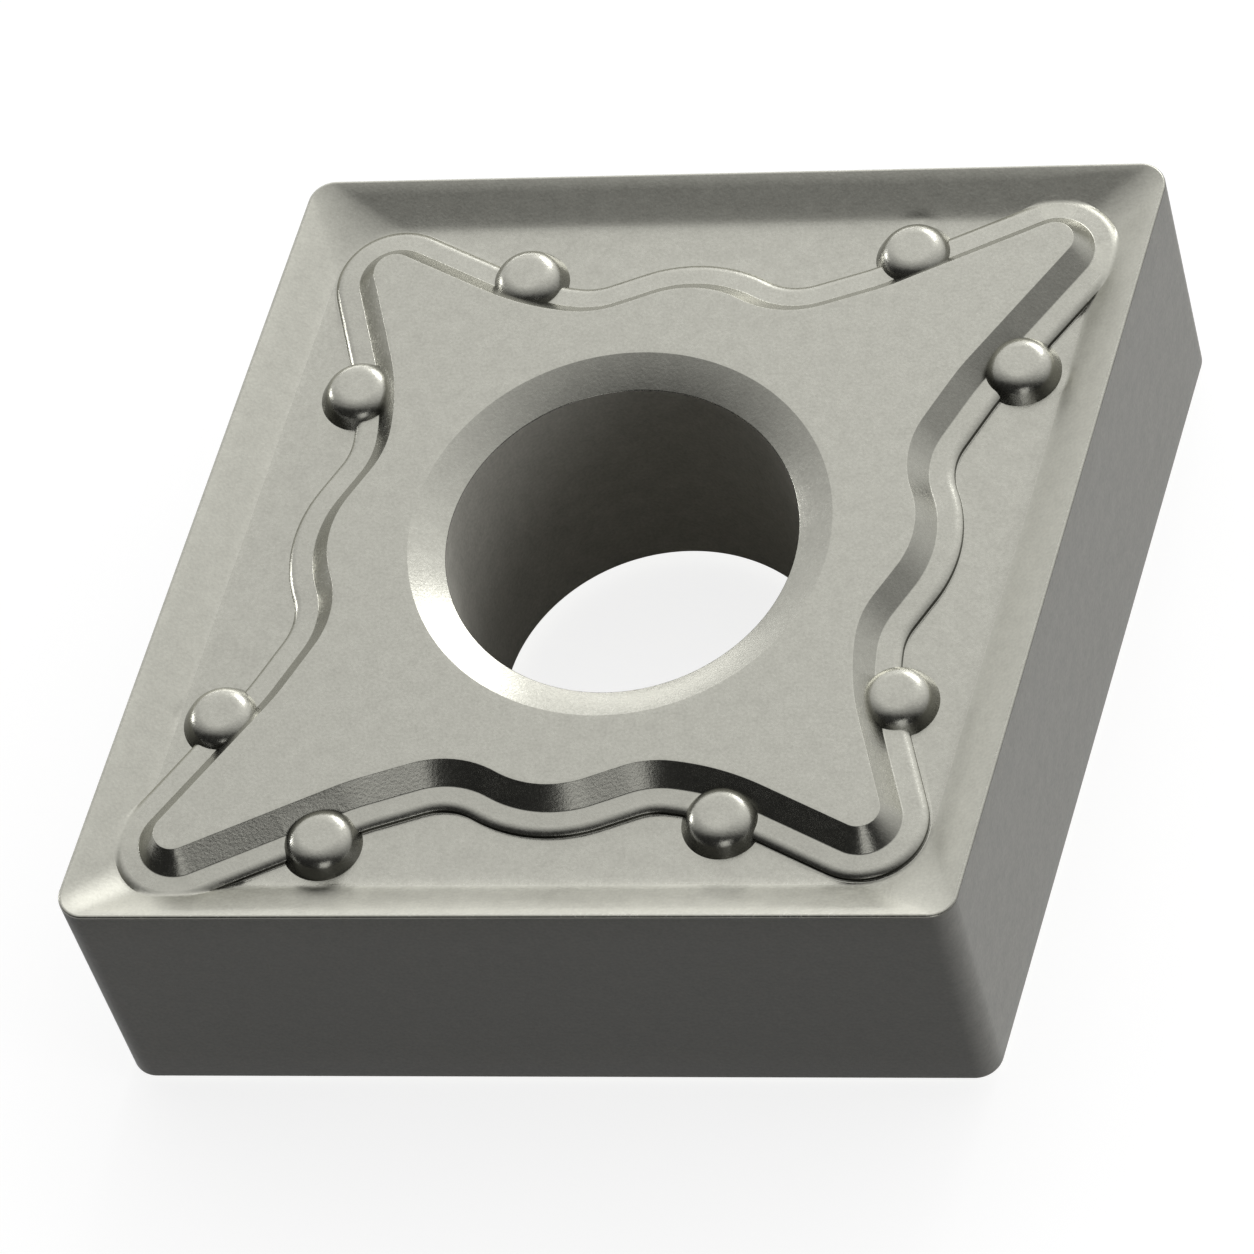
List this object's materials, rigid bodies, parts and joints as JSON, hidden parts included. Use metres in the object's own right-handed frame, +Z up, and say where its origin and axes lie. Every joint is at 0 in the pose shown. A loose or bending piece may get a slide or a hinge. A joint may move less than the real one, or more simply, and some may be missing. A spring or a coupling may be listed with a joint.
{
  "type": "carbide insert",
  "caption": "Double-sided rhombic turning insert with a moulded chip breaker round a star-shaped seat and a countersunk clamping bore.",
  "frame": {"origin": "on the bore's axis, in the plane of the lower seat", "axes": "+Z up the bore, from the lower seat to the upper; +X along a cutting edge, towards that edge's blunt corner on the -Y side"},
  "size_m": [0.015, 0.0126, 0.0048],
  "materials": {
    "carbide": "satin, fine-grained sintered carbide without a coating"
  },
  "bodies": {
    "root": {"insert": "carbide"}
  },
  "joints": []
}
